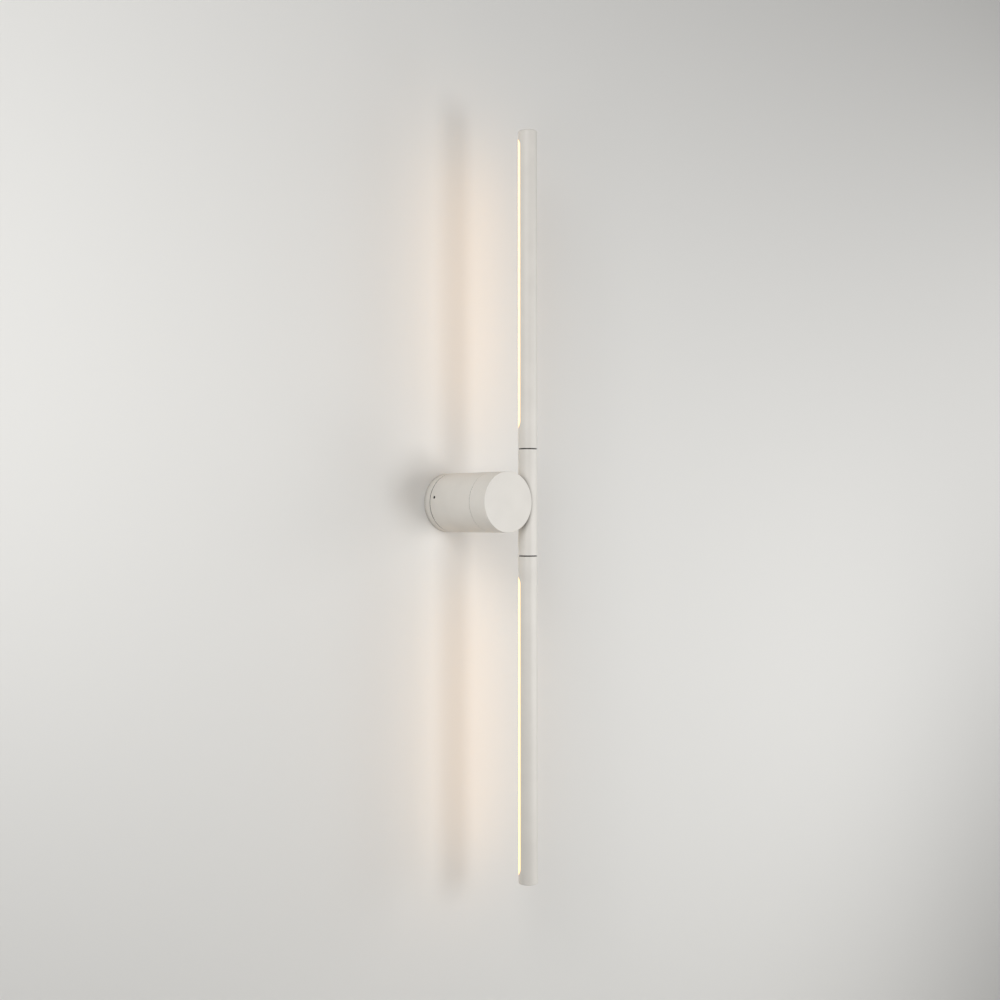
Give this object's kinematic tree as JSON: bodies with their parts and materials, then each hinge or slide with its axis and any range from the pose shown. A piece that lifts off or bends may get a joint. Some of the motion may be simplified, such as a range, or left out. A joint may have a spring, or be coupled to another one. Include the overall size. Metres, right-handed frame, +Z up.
{
  "type": "tube wall light",
  "caption": "Round wall housing with a swivelling head that carries a long upright tube. Its upper and lower ends are light tubes that turn on their own axis, with opal windows.",
  "frame": {"origin": "centre of the wall plate's back face, on the wall", "axes": "+Z up along the light tubes, +Y into the wall, +X to the right as seen from the room"},
  "size_m": [0.0994, 0.1312, 1],
  "materials": {
    "powder_coat": "satin warm off-white powder coat on turned and extruded aluminium",
    "opal": "matte opal",
    "black_plastic": "matte black acetal",
    "dark_screw": "blackened",
    "zinc_steel": "zinc plated",
    "spring_steel": "blued",
    "galvanised_sheet": "galvanised",
    "bare_aluminium": "mill finish",
    "brass": "turned",
    "bronze": "sintered",
    "nylon": "natural",
    "rubber": "matte black",
    "terminal_plastic": "natural white",
    "driver_case": "white",
    "lead_jacket": "grey-white jacket",
    "board_mask": "white mask on an aluminium board",
    "led_phosphor": "yellow phosphor"
  },
  "bodies": {
    "base": {"wall_plate": "powder_coat", "cable_grommet": "rubber", "earth_screw": "zinc_steel", "terminal_block": "terminal_plastic", "terminal_screws": "zinc_steel", "bracket_pillars": "zinc_steel", "bracket_screws": "zinc_steel", "driver_bracket": "galvanised_sheet", "led_driver": "driver_case", "driver_screws": "zinc_steel", "driver_leads": "lead_jacket", "housing": "powder_coat", "housing_grub_screws": "dark_screw", "pivot_bush": "bronze", "friction_washer": "nylon", "stop_pin": "zinc_steel"},
    "head": {"head_shell": "powder_coat", "pivot_spindle": "zinc_steel", "flange_screws": "zinc_steel", "disc_spring": "spring_steel", "thrust_washer": "zinc_steel", "pivot_nut": "zinc_steel", "head_lead": "lead_jacket", "centre_tube": "powder_coat", "clamp_bar": "bare_aluminium", "clamp_screws": "zinc_steel", "upper_joint_bush": "black_plastic", "lower_joint_bush": "black_plastic", "joint_stop_screws": "zinc_steel"},
    "upper_arm": {"upper_tube": "powder_coat", "upper_diffuser": "opal", "upper_led_carrier": "bare_aluminium", "upper_led_board": "board_mask", "upper_leds": "led_phosphor", "upper_lead": "lead_jacket", "upper_end_cap": "powder_coat", "upper_spigot": "brass", "upper_roll_pin": "zinc_steel"},
    "lower_arm": {"lower_tube": "powder_coat", "lower_diffuser": "opal", "lower_led_carrier": "bare_aluminium", "lower_led_board": "board_mask", "lower_leds": "led_phosphor", "lower_lead": "lead_jacket", "lower_end_cap": "powder_coat", "lower_spigot": "brass", "lower_roll_pin": "zinc_steel"}
  },
  "joints": [
    {"name": "head_swivel", "type": "hinge", "parent": "base", "child": "head", "pos_m": [0, -0.1, 0], "axis": [0, 1, 0], "range_deg": [-165, 165]},
    {"name": "upper_tube_swivel", "type": "hinge", "parent": "head", "child": "upper_arm", "pos_m": [0.0467, -0.1153, 0.0702], "axis": [0, 0, 1], "range_deg": [-178, 142]},
    {"name": "lower_tube_swivel", "type": "hinge", "parent": "head", "child": "lower_arm", "pos_m": [0.0467, -0.1153, -0.0702], "axis": [0, 0, 1], "range_deg": [-178, 142]}
  ]
}
